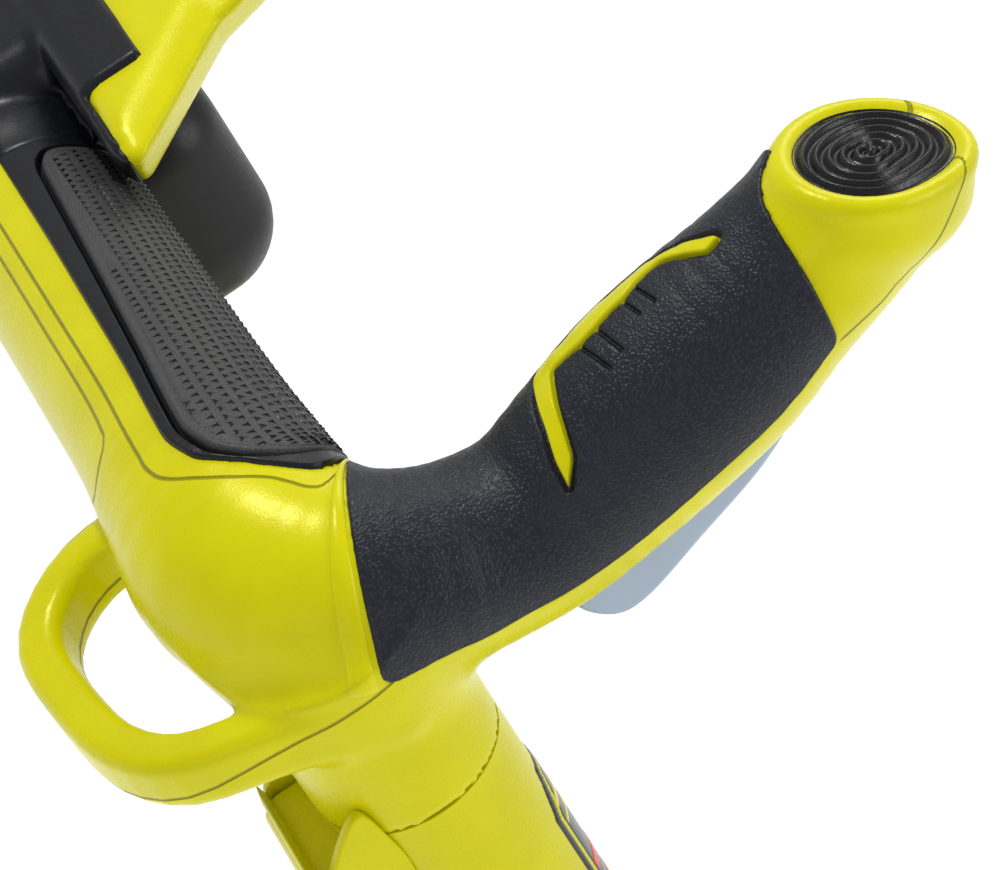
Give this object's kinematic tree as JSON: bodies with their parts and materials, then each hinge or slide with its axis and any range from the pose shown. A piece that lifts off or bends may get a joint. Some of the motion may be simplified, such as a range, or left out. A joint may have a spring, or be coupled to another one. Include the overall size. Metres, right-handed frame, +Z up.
{
  "type": "reel mower",
  "caption": "Battery-driven push reel mower: helical cutting reel, two ground wheels, rear roller, and a folding, telescopic twin-tube handle with bar-end grips and squeeze levers.",
  "frame": {"origin": "bottom centre of the whole mower's box, on the ground", "axes": "+X to the operator's right along the wheel axle, +Y the way the mower travels, +Z up"},
  "size_m": [0.508, 0.684, 1.0335],
  "materials": {
    "lime_plastic": "moulded lime plastic with a fine spark texture",
    "charcoal_plastic": "matt moulded charcoal plastic",
    "black_trim": "satin black plastic",
    "grip_rubber": "stippled soft overmould",
    "pad_rubber": "moulded soft pad",
    "lever_grey": "blue-grey moulded plastic",
    "button_plastic": "grey moulded plastic",
    "label_film": "printed film",
    "black_steel": "black powder coat",
    "bright_steel": "drawn steel",
    "zinc_steel": "bright zinc plate",
    "blade_steel": "ground steel",
    "motor_can": "enamelled steel",
    "pulley_alloy": "turned aluminium",
    "belt_rubber": "ribbed drive belt",
    "tyre_rubber": "moulded tread",
    "battery_plastic": "matt moulded plastic"
  },
  "bodies": {
    "chassis": {"side_plates": "black_steel", "tie_rods": "bright_steel", "tie_rod_nuts": "zinc_steel", "bedknife": "blade_steel", "bedknife_holder": "black_steel", "bedknife_bolts": "zinc_steel", "wheel_axles": "bright_steel", "handle_brackets": "black_steel", "reel_bearings": "bright_steel", "roller_arm_bolts": "zinc_steel", "motor": "motor_can", "drive_belt": "belt_rubber", "belt_cover": "charcoal_plastic", "deck_cover": "lime_plastic", "battery_bay": "charcoal_plastic", "catcher_studs": "zinc_steel", "pivot_bolts": "zinc_steel", "star_knobs": "charcoal_plastic"},
    "battery": {"battery_pack": "battery_plastic"},
    "reel": {"reel_blades": "blade_steel", "reel_spiders": "black_steel", "reel_shaft": "bright_steel", "reel_pulley": "pulley_alloy"},
    "motor_rotor": {"motor_shaft": "bright_steel", "motor_pulley": "pulley_alloy"},
    "right_wheel": {"right_tyre": "tyre_rubber", "right_wheel_rim": "charcoal_plastic", "right_hub_cap": "lime_plastic"},
    "left_wheel": {"left_tyre": "tyre_rubber", "left_wheel_rim": "charcoal_plastic", "left_hub_cap": "lime_plastic"},
    "roller_frame": {"roller_arms": "black_steel", "roller_axle": "bright_steel"},
    "roller": {"rear_roller": "charcoal_plastic"},
    "handle": {"lower_tubes": "black_steel", "tube_knuckles": "charcoal_plastic", "outer_tubes": "lime_plastic", "tube_bushes": "charcoal_plastic", "brace_tube": "black_steel", "label_plates": "label_film", "cam_pins": "zinc_steel"},
    "right_cam": {"right_cam_lever": "lime_plastic"},
    "left_cam": {"left_cam_lever": "lime_plastic"},
    "head": {"upper_shells": "lime_plastic", "lower_shells": "lime_plastic", "grip_overmoulds": "grip_rubber", "grip_inlays": "lime_plastic", "thumb_pads": "pad_rubber", "palm_pads": "pad_rubber", "pad_frames": "black_trim", "inner_tubes": "black_steel", "socket_bolts": "zinc_steel", "lever_pins": "bright_steel", "console_cover": "lime_plastic", "console_panel": "black_trim", "console_pod": "black_trim", "crossbar_core": "bright_steel"},
    "right_lever": {"right_power_lever": "lever_grey"},
    "left_lever": {"left_power_lever": "lever_grey"},
    "button": {"start_button": "button_plastic"}
  },
  "joints": [
    {"name": "handle_fold", "type": "hinge", "parent": "chassis", "child": "handle", "pos_m": [0, 0.09501, 0.215], "axis": [-1, 0, 0], "range_deg": [-12, 92]},
    {"name": "handle_extend", "type": "slide", "parent": "handle", "child": "head", "axis": [0, -0.4695, 0.8829], "range_m": [0, 0.12]},
    {"name": "right_cam_open", "type": "hinge", "parent": "handle", "child": "right_cam", "pos_m": [0.22, -0.29513, 0.89549], "axis": [-1, 0, 0], "range_deg": [0, 90]},
    {"name": "left_cam_open", "type": "hinge", "parent": "handle", "child": "left_cam", "pos_m": [-0.22, -0.29513, 0.89549], "axis": [-1, 0, 0], "range_deg": [0, 90]},
    {"name": "right_lever_squeeze", "type": "hinge", "parent": "head", "child": "right_lever", "pos_m": [0.22, -0.21295, 0.99016], "axis": [-1, 0, 0], "range_deg": [0, 9], "stiffness_Nm_per_rad": 1.2, "springref_deg": -8.59},
    {"name": "left_lever_squeeze", "type": "hinge", "parent": "head", "child": "left_lever", "pos_m": [-0.22, -0.21295, 0.99016], "axis": [-1, 0, 0], "range_deg": [0, 9], "stiffness_Nm_per_rad": 1.2, "springref_deg": -8.59},
    {"name": "start_press", "type": "slide", "parent": "head", "child": "button", "axis": [0, 0.4695, -0.8829], "range_m": [0, 0.003], "stiffness_N_per_m": 700, "springref_m": -0.003},
    {"name": "battery_lift", "type": "slide", "parent": "chassis", "child": "battery", "axis": [0, 0, 1], "range_m": [0, 0.09]},
    {"name": "reel_spin", "type": "hinge", "parent": "chassis", "child": "reel", "pos_m": [0, 0.24801, 0.102], "axis": [1, 0, 0], "continuous": true},
    {"name": "motor_spin", "type": "hinge", "parent": "chassis", "child": "motor_rotor", "pos_m": [0, 0.13801, 0.142], "axis": [1, 0, 0], "continuous": true},
    {"name": "right_wheel_spin", "type": "hinge", "parent": "chassis", "child": "right_wheel", "pos_m": [0, 0.20001, 0.115], "axis": [1, 0, 0], "continuous": true},
    {"name": "left_wheel_spin", "type": "hinge", "parent": "chassis", "child": "left_wheel", "pos_m": [0, 0.20001, 0.115], "axis": [1, 0, 0], "continuous": true},
    {"name": "height_adjust", "type": "hinge", "parent": "chassis", "child": "roller_frame", "pos_m": [0, 0.11401, 0.074], "axis": [-1, 0, 0], "range_deg": [-10, 14]},
    {"name": "roller_spin", "type": "hinge", "parent": "roller_frame", "child": "roller", "pos_m": [0, 0.07201, 0.025], "axis": [1, 0, 0], "continuous": true}
  ],
  "couplings": [
    {"joint": "motor_spin", "follows": "reel_spin", "ratio": 2}
  ]
}
